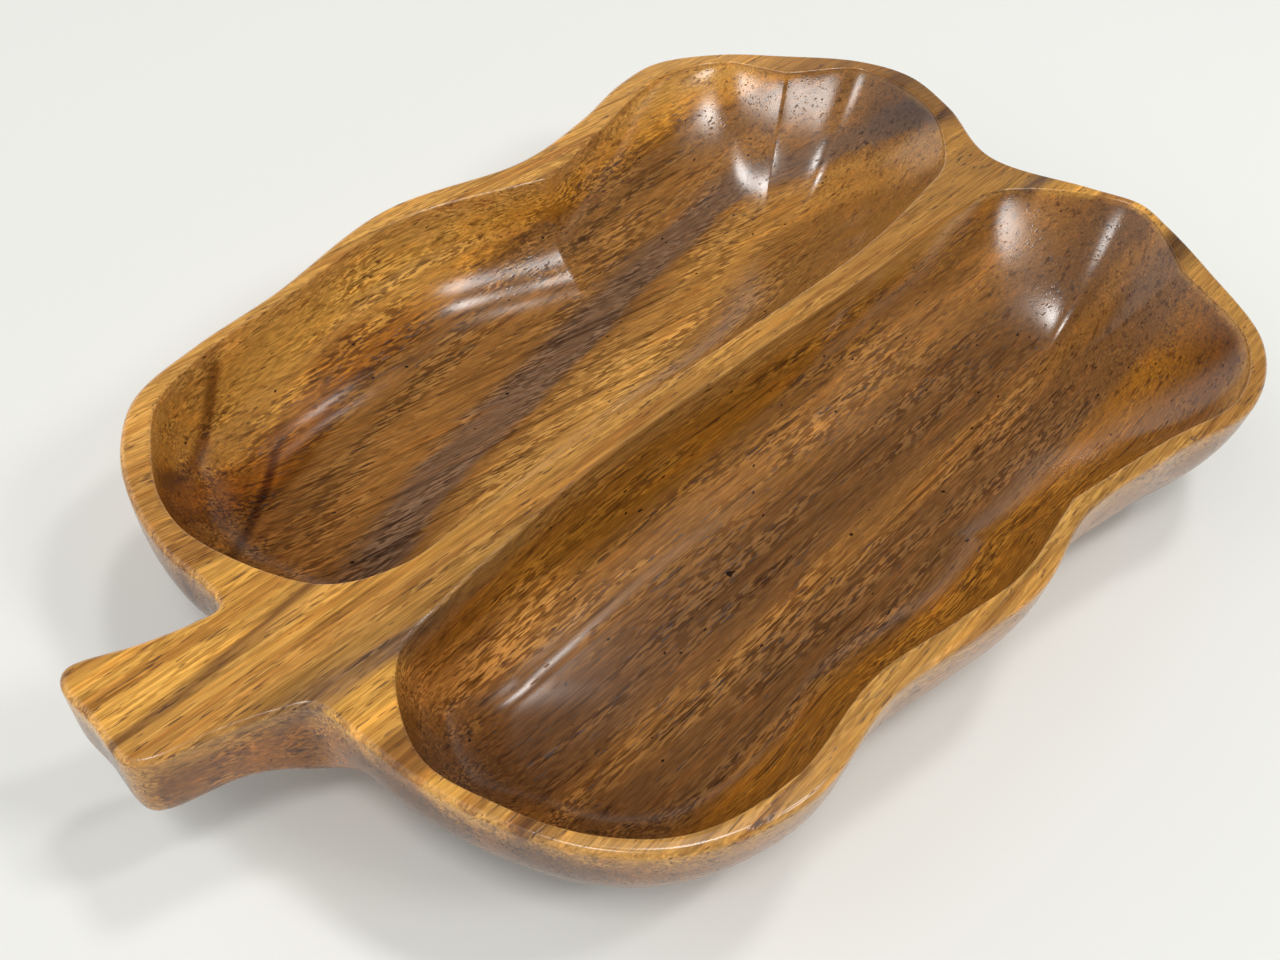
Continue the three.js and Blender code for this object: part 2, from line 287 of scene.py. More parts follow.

# Patches of darker and lighter wood, of painted shade and of a painted sheen: the tint, then the shares that
# bound the patch
PATCHES = [
    # Painted shade and darker wood under the rim at the outer end and far corner of the right basin, and at
    # the left basin's far corner by the rib
    (FAR_SHADE_AND_DARK_WOOD, HEART, fall("across", -98.0, -80.0), rise("along", 30.0, 110.0)),
    (FAR_SHADE_AND_DARK_WOOD, HEART, fall("across", -90.0, -70.0), rise("along", 95.0, 130.0)),
    (FAR_SHADE_AND_DARK_WOOD, HEART, fall("left", -32.0, -22.0), rise("along", 112.0, 132.0), LEFT_HALF),
    # Painted shade at the near ends of both basins, and a growth line by the left basin's near wall
    (NEAR_END_SHADE, HEART, fall("along", -115.0, -70.0)),
    (GROWTH, HEART, rise("left", 38.0, 43.0), fall("left", 50.0, 54.0), fall("along", -45.0, -15.0)),
    # Light band of the left basin, past its middle
    (MELLOW, HEART, fall("left", -13.0, -9.0), rise("along", -10.0, 40.0), LEFT_HALF),
    # Growth lines that cross the left basin's near end
    (RING, HEART, fall("ring_0", 0.4, 2.2), fall("along", -95.0, -82.0)),
    (RING, HEART, fall("ring_1", 0.4, 2.2), fall("along", -95.0, -82.0)),
    # Tip of the left half, and the near rim and the stem on top
    (SMOKE, rise("across", 14.0, 26.0), fall("across", 50.0, 62.0), rise("along", 138.0, 152.0)),
    (PALER, TOP, fall("along", -125.0, -90.0)),
    # Near end of the right basin's wall by the rib
    (SUNNY, HEART, rise("across", -28.0, -22.0), fall("across", -13.0, -9.0), fall("along", -95.0, -55.0)),
    # Far rim: a light band and a dark one in the right half, and all of the left half
    (SUNNY, TOP, rise("across", -50.0, -46.0), fall("across", -36.0, -31.0), rise("along", 115.0, 135.0)),
    (SMOKE, TOP, rise("across", -74.0, -66.0), fall("across", -61.0, -56.0), rise("along", 115.0, 135.0)),
    (MELLOW, TOP, rise("along", 115.0, 140.0, 0.7), LEFT_HALF),
    # Painted sheen on the end of the stem, a reflection of the pale room
    (STEM_END_SHEEN, HEART, fall("along", -164.6, -162.4)),
]

# Lacquer
LACQUER_ROUGHNESS = 0.19
LACQUER_IOR = 1.5
PORE_ROUGHNESS = 0.22
PORE_RELIEF = 0.3
PORE_DEPTH = 0.06
FIBRE_RELIEF = 0.35

# Table top, its size in metres
FLOOR_SIZE = 12.0
TABLE = (0.86, 0.87, 0.85)
TABLE_ROUGHNESS = 0.6
TABLE_GLOSS = 0.2

# Light of the room: its colours, the directions of its pale side and of its dim part, and the steps between
# them by the cosine to a direction or by the height of a direction's tip
ROOM_PALE = (1.17, 1.175, 1.16)
ROOM_SHADE = (0.20, 0.205, 0.195)
ROOM_DIM = (0.07, 0.067, 0.06)
PALE_TOWARDS = (-0.5, 0.866, 0.0)
DIM_TOWARDS = (0.55, 0.36, 0.75)
HORIZON = (0.86, 0.87, 0.85)
PALE_SPREAD = (-0.7, 0.7)
DIM_SPREAD = (0.5, 0.87)
DIM_ABOVE = (0.3, 0.5)
HORIZON_BELOW = (0.12, 0.26, 1.0, 0.0)

# Lamps: name, place, width and height in metres, watts
LAMP_COLOUR = (1.0, 0.985, 0.96)
LAMPS_FACE = (0, 0, 0.03)
LAMPS = [
    ("lamp_right", (0.73, -1.64, 1.80), 0.46, 0.46, 11.0),
    ("lamp_near", (-0.64, -0.43, 2.38), 0.50, 0.50, 13.0),
    ("lamp_far_left", (0.73, 0.08, 2.39), 0.30, 0.30, 10.0),
    ("lamp_far_right", (0.93, -0.84, 2.17), 0.26, 0.26, 8.0),
]

# Camera: place in metres, directions, and lens and sensor in millimetres
CAMERA_AT = (-0.18644, -0.12042, 0.2251)
CAMERA_RIGHT = (0.67795, -0.72732, 0.10669)
CAMERA_UP = (0.48877, 0.55440, 0.67360)
CAMERA_AHEAD = (0.54908, 0.40452, -0.73135)
CAMERA_LENS = 31.13
CAMERA_SENSOR = 36
CAMERA_NEAREST = 0.01


# Curves

def spline(points, closed, steps):
    """Smooth curve through points, each stretch a cubic whose tangents weigh its neighbours by the
    square root of their distance. Returns places and tangents, steps to a stretch, the end left out."""
    points = np.asarray(points, float)
    if closed:
        ring = np.concatenate([points[-1:], points, points[:2]])
    else:
        first = 2 * points[:1] - points[1:2]
        last = 2 * points[-1:] - points[-2:-1]
        ring = np.concatenate([first, points, last])
    p0, p1, p2, p3 = ring[:-3, None], ring[1:-2, None], ring[2:-1, None], ring[3:, None]
    gap = np.sqrt(np.linalg.norm(np.diff(ring, axis=0), axis=1))[:, None, None]
    d0, d1, d2 = gap[:-2], gap[1:-1], gap[2:]
    m1 = ((p1 - p0) / d0 - (p2 - p0) / (d0 + d1) + (p2 - p1) / d1) * d1
    m2 = ((p2 - p1) / d1 - (p3 - p1) / (d1 + d2) + (p3 - p2) / d2) * d1
    t = (np.arange(steps) / steps)[None, :, None]
    bend = -3 * p1 + 3 * p2 - 2 * m1 - m2
    twist = 2 * p1 - 2 * p2 + m1 + m2
    place = p1 + m1 * t + bend * t ** 2 + twist * t ** 3
    tangent = m1 + 2 * bend * t + 3 * twist * t ** 2
    tangent /= np.linalg.norm(tangent, axis=2, keepdims=True)
    return place.reshape(-1, 2), tangent.reshape(-1, 2)


def inward(tangent):
    """Left-hand normal of a counter-clockwise curve, which points into it."""
    return np.stack([-tangent[:, 1], tangent[:, 0]], axis=1)


def ease(value, low, high):
    """Smooth step: 0 below low, 1 above high, and the cubic 3t² - 2t³ between them."""
    t = np.clip((value - low) / (high - low), 0, 1)
    return t * t * (3 - 2 * t)


def blend(start, end, share):
    """Straight mix from start to end."""
    return start + (end - start) * share


# Outline of the leaf and its stem

def stem_side(side, root, shoulder):
    """Points from the stem's end along one side to the leaf's shoulder: a rounded corner, a side that is
    hollowed a little, the root and the shoulder."""
    end = RIGHT_ROOT[0] - STEM_LENGTH
    corner = STEM_LEAN + side * STEM_WIDTH / 2
    start = np.array([end + STEM_CORNER, corner])
    hollow = np.array([0, -side * STEM_HOLLOW])
    sides = [blend(start, np.array(root), share) + hollow for share in STEM_HOLLOW_SPAN]
    return [np.array([end, corner - side * STEM_CORNER]), start, *sides, np.array(root), np.array(shoulder)]


STATIONS = np.array([
    (RIGHT_ROOT[0] - STEM_LENGTH, STEM_LEAN),
    *stem_side(-1, RIGHT_ROOT, RIGHT_SHOULDER),
    *RIGHT_EDGE[:, :2],
    NOTCH,
    *LEFT_EDGE[::-1, :2],
    *stem_side(1, LEFT_ROOT, LEFT_SHOULDER)[::-1],
])
EDGE, EDGE_TANGENT = spline(STATIONS, True, EDGE_STEPS)
EDGE_NORMAL = inward(EDGE_TANGENT)


def rim_points(edge, first, step):
    """Points of a basin's edge, each a rim's width in from the leaf's edge along its normal."""
    stations = (first + step * np.arange(len(edge))) * EDGE_STEPS
    return edge[:, :2] + EDGE_NORMAL[stations] * edge[:, 2:]


def basin_outline(rim, rib_side, cusps):
    """Edge of a basin: two smooth curves that meet at its two cusps, one along the far lobe and one round
    the rest, counter-clockwise. Returns places and tangents."""
    waist, scallop = cusps
    rib = np.stack([RIB[:, 0], RIB[:, 1] + rib_side * RIB[:, 2]], axis=1)
    lobe = rim[waist:scallop + 1]
    rest = np.concatenate([rim[scallop:], rib, rim[:waist + 1]])
    curves = []
    for stretch in (lobe, rest):
        if rib_side > 0:
            stretch = stretch[::-1]
        curves.append(spline(stretch, False, BASIN_STEPS)[0])
    if rib_side > 0:
        curves.reverse()
    outline = np.concatenate(curves)
    tangent = np.roll(outline, -1, axis=0) - np.roll(outline, 1, axis=0)
    return outline, tangent / np.linalg.norm(tangent, axis=1, keepdims=True)


# Surfaces of the carved body, as rings of points joined into bands

class Body:
    """Vertices and faces of the carved body, before it is divided into staves."""

    def __init__(self):
        self.points = []
        self.faces = []
        self.count = 0

    def grid(self, plan, height):
        """Adds rings of points, plan (rings, points, 2) and height broadcast to (rings, points)."""
        rings, length = plan.shape[:2]
        height = np.broadcast_to(height, (rings, length))[..., None]
        self.points.append(np.concatenate([plan, height], axis=2).reshape(-1, 3))
        index = self.count + np.arange(rings * length).reshape(rings, length)
        self.count += rings * length
        return index

    def band(self, index, flip=False):
        """Quads between neighbouring rings, closed round the ring."""
        upper, lower = index[:-1], index[1:]
        quads = np.stack([upper, lower, np.roll(lower, -1, axis=1), np.roll(upper, -1, axis=1)], axis=-1)
        quads = quads.reshape(-1, 4)
        self.faces.extend((quads[:, ::-1] if flip else quads).tolist())

    def fill(self, rings):
        """Flat faces inside the first ring and outside the others, by constrained Delaunay triangles."""
        corners = np.concatenate(rings)
        plan = np.concatenate(self.points)[corners, :2]
        starts = np.cumsum([0] + [len(ring) for ring in rings])
        edges = []
        for start, ring in zip(starts, rings):
            place = start + np.arange(len(ring))
            edges.extend(np.stack([place, np.roll(place, -1)], axis=1).tolist())
        triangles = np.array(delaunay_2d_cdt(plan.tolist(), edges, [], FILL_KIND, FILL_WITHIN)[2])
        middle = plan[triangles].mean(axis=1)
        keep = np.ones(len(triangles), bool)
        for start, ring in zip(starts[1:], rings[1:]):
            keep &= ~inside(middle, plan[start:start + len(ring)])
        self.faces.extend(corners[triangles[keep]].tolist())


def inside(points, polygon):
    """Which points lie inside a polygon: those with an odd number of its edges to their right."""
    x, y = points[:, None, 0], points[:, None, 1]
    x0, y0 = polygon[None, :, 0], polygon[None, :, 1]
    x1, y1 = np.roll(x0, -1, axis=1), np.roll(y0, -1, axis=1)
    crosses = (y0 > y) != (y1 > y)
    with np.errstate(divide="ignore", invalid="ignore"):
        right = x < x0 + (y - y0) * (x1 - x0) / (y1 - y0)
    return (crosses & right).sum(axis=1) % 2 == 1


def rounded_edge(radius):
    """Quarter circle from the flat top to the wall: insets from the wall, and drops below the top."""
    angle = np.linspace(0, np.pi / 2, ROUND_STEPS + 1)
    inset = np.concatenate([[radius + FLAT_LEDGE], radius * (1 - np.sin(angle))])
    drop = np.concatenate([[0], radius * (1 - np.cos(angle))])
    return inset, drop


def wall_section(fullness, steps):
    """Superellipse quarter at even angles: run = 1 - cos(a)^(2/fullness), drop = sin(a)^(2/fullness)."""
    angle = np.linspace(0, np.pi / 2, steps + 1)[1:, None]
    run = 1 - np.clip(np.cos(angle), 0, 1) ** (2 / fullness)
    run[-1] = 1
    return run, np.sin(angle) ** (2 / fullness)


def outer_wall(body):
    """Outer wall: the rounded rim, then a superellipse section from the edge down to the foot's oval, or on
    the stem down to its flat underside, with a smooth change from one to the other at the root."""
    count = len(EDGE)
    station = np.arange(count) / EDGE_STEPS
    from_stem = np.minimum(station, len(STATIONS) - station)
    stem = 1 - ease(from_stem, STEM_STATIONS / 2, STEM_STATIONS)
    half = np.array([FOOT_LENGTH / 2, FOOT_WIDTH / 2])
    turn = np.arctan2(EDGE[:, 1] / half[1], (EDGE[:, 0] - FOOT_AT) / half[0])
    oval = np.stack([FOOT_AT + half[0] * np.cos(turn), half[1] * np.sin(turn)], axis=1)
    under = EDGE + EDGE_NORMAL * (STEM_WIDTH - STEM_FLAT) / 2
    foot = blend(oval, under, stem[:, None])
    drop = blend(HEIGHT - OUTER_EDGE, STEM_THICKNESS - OUTER_EDGE, stem)
    inset, lowered = rounded_edge(OUTER_EDGE)
    rim_plan = EDGE[None] + EDGE_NORMAL[None] * inset[:, None, None]
    rim_height = np.broadcast_to((HEIGHT - lowered)[:, None], (len(lowered), count))
    run, depth = wall_section(blend(OUTER_FULLNESS, STEM_FULLNESS, stem)[None], WALL_STEPS)
    wall_plan = blend(EDGE[None], foot[None], run[..., None])
    wall_height = HEIGHT - OUTER_EDGE - drop * depth
    index = body.grid(np.concatenate([rim_plan, wall_plan]), np.concatenate([rim_height, wall_height]))
    body.band(index)
    underside(body, index[-1])
    return index[0]


def underside(body, ring):
    """Underside: rungs across from the right of the last ring to its left, from the stem to the notch."""
    points = np.concatenate(body.points)
    half = len(ring) // 2
    right = ring[1:half]
    left = ring[:half:-1]
    share = np.linspace(0, 1, RUNG_STEPS + 1)[1:-1, None, None]
    between = blend(points[right][None], points[left][None], share)
    inner = body.grid(between[..., :2], between[..., 2])
    rungs = np.concatenate([right[None], inner, left[None]])
    quads = np.stack([rungs[:-1, :-1], rungs[1:, :-1], rungs[1:, 1:], rungs[:-1, 1:]], axis=-1)
    body.faces.extend(quads.reshape(-1, 4).tolist())
    body.faces.append([ring[0], *rungs[::-1, 0]])
    body.faces.append([ring[half], *rungs[:, -1]])


def basin(body, outline, tangent, spine_across):
    """Basin: a rounded lip, then a superellipse wall that runs towards the spine, and the floor from there
    on to just short of the spine. Over the whole way to the spine it is dished by a parabola, a little
    at the sides and mostly at the far end."""
    along = outline[:, 0] - SPINE_AT
    length = np.abs(along).max()
    towards_end = ease(np.abs(along) / length, 0, 1)
    run = blend(SIDE_WALL, np.where(along > 0, FAR_WALL, NEAR_WALL), towards_end)
    fullness = blend(BASIN_FULLNESS, np.where(along > 0, FAR_FULLNESS, BASIN_FULLNESS), towards_end)
    dish = blend(BASIN_DISH, np.where(along > 0, FAR_DISH, BASIN_DISH), towards_end)
    spine = np.stack([SPINE_AT + along * SPINE_SHARE, np.full(len(along), spine_across)], axis=1)
    distance = np.linalg.norm(spine - outline, axis=1)
    share = run / (run ** SPINE_SHYNESS + distance ** SPINE_SHYNESS) ** (1 / SPINE_SHYNESS)
    outside = -inward(tangent)
    inset, lowered = rounded_edge(INNER_EDGE)
    lip_plan = outline[None] + outside[None] * inset[:, None, None]
    lip_height = np.broadcast_to((HEIGHT - lowered)[:, None], (len(lowered), len(outline)))
    section_run, section_drop = wall_section(fullness[None], WALL_STEPS)
    floor_run = share + (1 - share) * np.linspace(0, FLOOR_REACH, FLOOR_STEPS + 1)[1:, None]
    inner_run = np.concatenate([section_run * share, floor_run])
    wall_drop = np.concatenate([section_drop, np.ones((FLOOR_STEPS, len(outline)))])
    drop = blend(wall_drop, 1 - (1 - inner_run) ** 2, dish)
    inner_plan = blend(outline[None], spine[None], inner_run[..., None])
    inner_height = blend(HEIGHT - INNER_EDGE, FLOOR_THICKNESS, drop)
    index = body.grid(np.concatenate([lip_plan, inner_plan]), np.concatenate([lip_height, inner_height]))
    body.band(index, flip=True)
    body.fill([index[-1]])
    return index[0]


def carved_body():
    """The whole bowl as one closed surface: its points, in millimetres on the drawing, and its faces."""
    body = Body()
    first_right = 1 + STEM_STATIONS
    first_left = len(STATIONS) - 1 - STEM_STATIONS
    top = outer_wall(body)
    right = basin_outline(rim_points(RIGHT_EDGE, first_right, 1), -1, RIGHT_CUSPS)
    left = basin_outline(rim_points(LEFT_EDGE, first_left, -1), 1, LEFT_CUSPS)
    holes = [basin(body, *right, RIGHT_SPINE), basin(body, *left, LEFT_SPINE)]
    body.fill([top, *holes])
    return np.concatenate(body.points), body.faces


# Division into staves

def closed_mesh(name, points, faces):
    """Mesh of points and faces, smooth all over, with its vertex normals kept as an attribute."""
    mesh = bpy.data.meshes.new(name)
    mesh.from_pydata(points.tolist(), [], faces)
    mesh.polygons.foreach_set("use_smooth", np.ones(len(mesh.polygons), bool))
    normals = np.empty(len(mesh.vertices) * 3, np.float32)
    mesh.vertex_normals.foreach_get("vector", normals)
    kept = mesh.attributes.new(CARVED_NORMAL, "FLOAT_VECTOR", "POINT")
    kept.data.foreach_set("vector", normals)
    return mesh


def cut_flat(body, place, facing):
    """Cuts the body at y = place, drops what lies beyond it in the direction facing, and closes the cut."""
    everything = body.verts[:] + body.edges[:] + body.faces[:]
    cut = bmesh.ops.bisect_plane(
        body, geom=everything, dist=CUT_WITHIN, plane_co=(0, place, 0), plane_no=(0, facing, 0),
        clear_outer=True)
    edges = [part for part in cut["geom_cut"] if isinstance(part, bmesh.types.BMEdge)]
    bmesh.ops.triangle_fill(body, edges=edges, use_beauty=False, normal=(0, facing, 0))


def carved_normals(mesh):
    """Corner normals: the whole body's on the carved surface, and the face's own on the flat cuts, so that a
    glue joint shows as no more than a hairline."""
    corner = np.empty(len(mesh.loops), np.int32)
    mesh.loops.foreach_get("vertex_index", corner)
    carved = np.empty(len(mesh.vertices) * 3, np.float32)
    mesh.attributes[CARVED_NORMAL].data.foreach_get("vector", carved)
    size = np.empty(len(mesh.polygons), np.int32)
    mesh.polygons.foreach_get("loop_total", size)
    smooth = np.empty(len(mesh.polygons), bool)
    mesh.polygons.foreach_get("use_smooth", smooth)
    flat = np.empty(len(mesh.polygons) * 3, np.float32)
    mesh.polygons.foreach_get("normal", flat)
    face = np.repeat(np.arange(len(size)), size)
    normals = np.where(smooth[face, None], carved.reshape(-1, 3)[corner], flat.reshape(-1, 3)[face])
    return normals / np.linalg.norm(normals, axis=1, keepdims=True)


def stave(whole, node, right, left, wood):
    """One stave: the carved body between two glue joints, or beyond the last one, riding on the bowl."""
    body = whole.copy()
    if right is not None:
        cut_flat(body, right, -1)
    if left is not None:
        cut_flat(body, left, 1)
    mesh = bpy.data.meshes.new("carved_" + node)
    body.to_mesh(mesh)
    body.free()
    mesh.normals_split_custom_set(carved_normals(mesh).tolist())
    mesh.attributes.remove(mesh.attributes[CARVED_NORMAL])
    mesh.materials.append(wood)
    piece = bpy.data.objects.new("carved_" + node, mesh)
    bpy.context.scene.collection.objects.link(piece)
    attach(piece, "root")
    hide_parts(node)


def divide(points, faces, wood):
    """All staves, from the right edge to the left, in metres and inside the box of the solids."""
    lowest, highest = (np.array(corner) for corner in cad_box)
    placed = np.clip((points + np.array(DRAWING_SHIFT)) * MM, lowest, highest)
    mesh = closed_mesh("carved_body", placed, faces)
    whole = bmesh.new()
    whole.from_mesh(mesh)
    bpy.data.meshes.remove(mesh)
    joints = [(joint + DRAWING_SHIFT[1]) * MM for joint in JOINTS]
    for node, right, left in zip(STAVES, [None, *joints], [*joints, None]):
        stave(whole, node, right, left, wood)
    whole.free()


# Lacquered wood

# Places of the colour sockets on a mix node
MIX_FIRST = 6
MIX_SECOND = 7
MIX_RESULT = 2


class Figure:
    """Short ways to make the nodes of one material or world."""

    def __init__(self, owner):
        self.owner = owner
        owner.use_nodes = True
        self.tree = owner.node_tree
        self.tree.nodes.clear()

    def node(self, kind, *inputs, output=0, **settings):
        """Output of a node with its settings, and its inputs in order: a socket is linked, a value is set,
        and None is left as it is."""
        made = self.tree.nodes.new(kind)
        for name, value in settings.items():
            setattr(made, name, value)
        for socket, value in zip(made.inputs, inputs):
            self.put(socket, value)
        return made.outputs[output]

    def put(self, socket, value):
        """Links a socket or sets its value."""
        if isinstance(value, bpy.types.NodeSocket):
            self.tree.links.new(value, socket)
        elif value is not None:
            socket.default_value = value

    def end(self, kind, surface):
        """The output node."""
        self.put(self.tree.nodes.new(kind).inputs[0], surface)

    def math(self, operation, *inputs):
        """One operation on numbers."""
        return self.node("ShaderNodeMath", *inputs, operation=operation)

    def add(self, a, b):
        """Sum of two numbers."""
        return self.math("ADD", a, b)

    def times(self, a, b):
        """Product of two numbers."""
        return self.math("MULTIPLY", a, b)

    def step(self, value, low, high, start=0.0, end=1.0):
        """Smooth step of a value from start below low to end above high."""
        return self.node("ShaderNodeMapRange", value, low, high, start, end, interpolation_type="SMOOTHSTEP")

    def mix(self, share, a, b, how="MIX"):
        """Mix of two colours, through the node's colour sockets."""
        made = self.tree.nodes.new("ShaderNodeMix")
        made.data_type = "RGBA"
        made.blend_type = how
        self.put(made.inputs[0], share)
        self.put(made.inputs[MIX_FIRST], a)
        self.put(made.inputs[MIX_SECOND], b)
        return made.outputs[MIX_RESULT]

    def tint(self, wood, colour, *shares):
        """Wood times a colour, as far as the product of the shares goes."""
        share = shares[0]
        for other in shares[1:]:
            share = self.times(share, other)
        return self.mix(share, wood, (*colour, 1), "MULTIPLY")

    def bands(self, place, span, stops):
        """Colours along a ramp over the span, each stop (place, colour)."""
        low, high = span
        share = self.node("ShaderNodeMapRange", place, low, high, 0.0, 1.0)
        made = self.tree.nodes.new("ShaderNodeValToRGB")
        self.put(made.inputs[0], share)
        elements = made.color_ramp.elements
        while len(elements) < len(stops):
            elements.new(0.5)
        for element, (at, colour) in zip(elements, stops):
            element.position = (at - low) / (high - low)
            element.color = (*colour, 1)
        return made.outputs[0]

    def fibre(self, grain, length, width, detail, roughness, shift):
        """Noise drawn out along the grain, in cells of length by width by width millimetres."""
        scaled = self.node("ShaderNodeVectorMath", grain, (1 / length, 1 / width, 1 / width), (shift,) * 3,
                           operation="MULTIPLY_ADD")
        return self.node("ShaderNodeTexNoise", scaled, None, 1.0, detail, roughness)


def wood_places(fig):
    """What the wood's colours follow, by name. Along and across are distances on the bowl in millimetres.
    Left and right are those across the bands of each half, which lie in planes along the grain, slanted in
    the left half. The rings are the distances from the growth lines. Sunk is the depth below the rim, in
    basin depths and more at the tip. Grain and fibres are points that the noise is drawn out along."""
    place = fig.node("ShaderNodeTexCoord", output="Object")
    place = fig.node("ShaderNodeVectorMath", place, None, None, 1 / MM, operation="SCALE")
    apart = fig.tree.nodes.new("ShaderNodeSeparateXYZ")
    fig.put(apart.inputs[0], place)
    along, across, up = apart.outputs
    depth = fig.math("MULTIPLY_ADD", up, -1 / BASIN_DEPTH, HEIGHT / BASIN_DEPTH)

    # Bands of the left half, and the grain that turns towards them
    slope = fig.math("MULTIPLY_ADD", depth, SLANT_DEEPER, SLANT)
    slanted = fig.math("SUBTRACT", across, fig.times(slope, along))
    banded = fig.math("SUBTRACT", slanted, fig.math("MULTIPLY_ADD", depth, BAND_DEEPER, BAND_AT))
    turn = fig.times(fig.step(across, *GRAIN_TURN), slope)
    turned = fig.math("SUBTRACT", across, fig.times(turn, along))
    grain = fig.node("ShaderNodeCombineXYZ", along, turned, up)

    # Fibres, which lie across the bands of the left half, at a slope of their own in some of the staves
    joints = (JOINTS[number] + DRAWING_SHIFT[1] for number in LEANING_JOINTS)
    inner, outer = (fig.math("GREATER_THAN", across, joint) for joint in joints)
    inner_lean = fig.math("MULTIPLY_ADD", inner, INNER_LEAN, FIBRE_LEAN)
    lean = fig.math("MULTIPLY_ADD", outer, OUTER_LEAN, inner_lean)
    leaning = fig.math("SUBTRACT", across, fig.times(lean, along))
    fibres = fig.node("ShaderNodeCombineXYZ", along, leaning, up)

    # Wander of the bands
    wander = fig.math("MULTIPLY_ADD", fig.fibre(grain, *WANDER_NOISE), WANDER_REACH, -WANDER_REACH / 2)
    fingers = fig.math("MULTIPLY_ADD", fig.fibre(fibres, *FINGER_NOISE), FINGER_REACH, -FINGER_REACH / 2)
    stray = fig.add(wander, fingers)
    bends = fig.add(fig.step(along, *NEAR_BEND), fig.step(along, *FAR_BEND))
    over = fig.math("MULTIPLY_ADD", along, -RING_SLOPE, fig.math("MULTIPLY_ADD", wander, RING_WANDER, across))
    places = {
        "along": along,
        "across": across,
        "left": fig.add(fig.add(banded, stray), bends),
        "right": fig.add(across, stray),
        "sunk": fig.math("MULTIPLY_ADD", stray, STRAY_SINK, fig.times(depth, fig.step(along, *TIP_SINK))),
        "grain": grain,
        "fibres": fibres,
    }
    for number, ring in enumerate(RINGS):
        places[f"ring_{number}"] = fig.math("ABSOLUTE", fig.add(over, -ring))
    return places


def patch_shares(fig, places, *steps):
    """Shares of a patch, each a smooth step along one of the wood's places."""
    return [fig.step(places[name], *limits) for name, *limits in steps]


def banded_wood(fig, places):
    """Colour of the bands of both halves, light near the top of the blank and dark below it, with patches of
    other wood, painted shade and a painted sheen.
    """
    heart, half = patch_shares(fig, places, HEART, LEFT_HALF)
    left = [fig.bands(places["left"], LEFT_SPAN, stops) for stops in (LEFT_TOP, LEFT_DEEP)]
    right = [fig.bands(places["right"], RIGHT_SPAN, stops) for stops in (RIGHT_TOP, RIGHT_DEEP)]
    wood = fig.mix(half, fig.mix(heart, *right), fig.mix(heart, *left))
    for colour, *steps in PATCHES:
        wood = fig.tint(wood, colour, *patch_shares(fig, places, *steps))
    return wood


def figured_wood(fig, places, wood):
    """Streaks, fibres, flecks, pores and knots on the wood, all of them noise drawn out along the grain, so
    that they show as dashes on the floors and dots on the ends. Returns the colour, the fine fibres and the
    pores."""
    along, sunk, grain, fibres = (places[name] for name in ("along", "sunk", "grain", "fibres"))
    top, heart = patch_shares(fig, places, TOP, HEART)

    # Broad brown streaks near the top, thin dark ones and light ones
    ripple = fig.step(fig.fibre(fibres, *RIPPLE_NOISE), *RIPPLE_STEP)
    wood = fig.tint(wood, RIPPLE, top, ripple, fig.step(along, *RIPPLE_ALONG))
    streak = fig.step(fig.fibre(fibres, *STREAK_NOISE), *STREAK_STEP)
    wood = fig.tint(wood, STREAK, streak, fig.step(sunk, *STREAK_SINK))
    wood = fig.tint(wood, GLOW, fig.step(fig.fibre(fibres, *GLOW_NOISE), *GLOW_STEP))

    # Fine fibres
    fine = fig.fibre(fibres, *FINE_NOISE)
    level = fig.step(fine, *FINE_STEP)
    wood = fig.mix(1.0, wood, fig.node("ShaderNodeCombineColor", level, level, level), "MULTIPLY")

    # Flecks: short light and dark dashes, thick in some bands, and fewer near the top and the far end
    crowd = fig.step(fig.fibre(grain, *CROWD_NOISE), *CROWD_STEP)
    fleck = fig.step(fig.fibre(fibres, *FLECK_NOISE), *FLECK_STEP)
    flecks = fig.mix(fleck, (*DASH, 1), (*FLECK, 1))
    spread = fig.times(fig.step(sunk, *FLECK_SINK), fig.step(along, *FLECK_ALONG))
    wood = fig.mix(fig.times(crowd, spread), wood, flecks, "MULTIPLY")

    # Pores and a few black knots
    dash = fig.fibre(fibres, *PORE_NOISE)
    pore = fig.step(fig.math("MULTIPLY_ADD", crowd, PORE_CROWD, dash), *PORE_STEP)
    wood = fig.tint(wood, PORE, fig.times(pore, PORE_SHARE))
    knot = fig.step(fig.fibre(fibres, *KNOT_NOISE), *KNOT_STEP)
    return fig.tint(wood, KNOT, heart, knot), fine, pore


def lacquered_wood():
    """Open-pored brown and gold wood under clear lacquer, whose gloss the pores break up."""
    fig = Figure(bpy.data.materials.new("lacquered_wood"))
    places = wood_places(fig)
    wood, fine, pore = figured_wood(fig, places, banded_wood(fig, places))
    rough = fig.math("MULTIPLY_ADD", pore, PORE_ROUGHNESS, LACQUER_ROUGHNESS)
    relief = fig.math("MULTIPLY_ADD", pore, -1.0, fig.times(fine, FIBRE_RELIEF))
    bump = fig.node("ShaderNodeBump", PORE_RELIEF, PORE_DEPTH * MM, 1.0, relief)
    shader = fig.tree.nodes.new("ShaderNodeBsdfPrincipled")
    fig.put(shader.inputs["Base Color"], wood)
    fig.put(shader.inputs["Roughness"], rough)
    fig.put(shader.inputs["Normal"], bump)
    shader.inputs["IOR"].default_value = LACQUER_IOR
    fig.end("ShaderNodeOutputMaterial", shader.outputs[0])
    return fig.owner


divide(*carved_body(), lacquered_wood())


# Stage, light and camera

